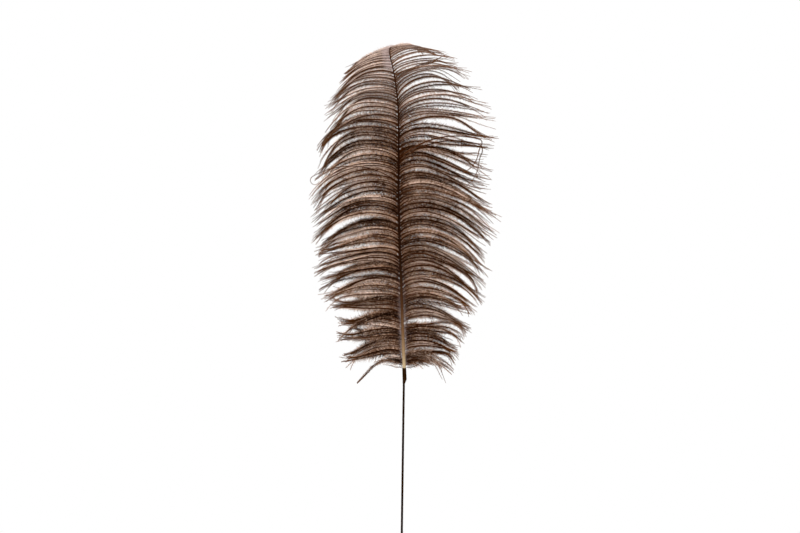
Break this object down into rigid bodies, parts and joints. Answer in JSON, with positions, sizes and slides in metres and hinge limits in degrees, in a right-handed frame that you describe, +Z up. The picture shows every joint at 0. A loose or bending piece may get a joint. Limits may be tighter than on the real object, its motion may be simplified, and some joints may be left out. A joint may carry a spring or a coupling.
{
  "type": "feather duster",
  "caption": "Feather duster with a single brown ostrich plume, its quill bound with tape onto a slim tape-wrapped wire stem.",
  "frame": {"origin": "on the stem's axis at its cut lower end", "axes": "+Z up along the stem, the plume's face looks towards -Y and its tip curls over towards +Y, +X to the right of the plume"},
  "size_m": [0.2027, 0.0988, 0.7259],
  "materials": {
    "wire_steel": "drawn steel wire",
    "stem_paper_tape": "waxed crepe paper tape, satin",
    "binding_paper_tape": "waxed crepe paper tape, several turns thick",
    "glue": "set hot glue, amber",
    "quill_horn": "horn, cream at the foot running to near black, soft sheen",
    "barbs": "dyed brown ostrich barbs with fine fluff",
    "down": "short soft brown down"
  },
  "bodies": {
    "root": {"stem_wire": "wire_steel", "stem_tape": "stem_paper_tape", "binding_tape": "binding_paper_tape", "quill_glue": "glue", "quill_shaft": "quill_horn", "left_lock_01": "barbs", "left_lock_02": "barbs", "left_lock_03": "barbs", "left_lock_04": "barbs", "left_lock_05": "barbs", "left_lock_06": "barbs", "left_lock_07": "barbs", "left_lock_08": "barbs", "left_lock_09": "barbs", "left_lock_10": "barbs", "left_lock_11": "barbs", "left_lock_12": "barbs", "left_lock_13": "barbs", "left_lock_14": "barbs", "left_lock_15": "barbs", "left_lock_16": "barbs", "left_lock_17": "barbs", "left_lock_18": "barbs", "left_lock_19": "barbs", "left_lock_20": "barbs", "left_lock_21": "barbs", "left_lock_22": "barbs", "right_lock_01": "barbs", "right_lock_02": "barbs", "right_lock_03": "barbs", "right_lock_04": "barbs", "right_lock_05": "barbs", "right_lock_06": "barbs", "right_lock_07": "barbs", "right_lock_08": "barbs", "right_lock_09": "barbs", "right_lock_10": "barbs", "right_lock_11": "barbs", "right_lock_12": "barbs", "right_lock_13": "barbs", "right_lock_14": "barbs", "right_lock_15": "barbs", "right_lock_16": "barbs", "right_lock_17": "barbs", "right_lock_18": "barbs", "right_lock_19": "barbs", "right_lock_20": "barbs", "right_lock_21": "barbs", "right_lock_22": "barbs", "left_base_down": "down", "right_base_down": "down", "tip_barbs": "barbs", "stray_barbs": "barbs"}
  },
  "joints": []
}
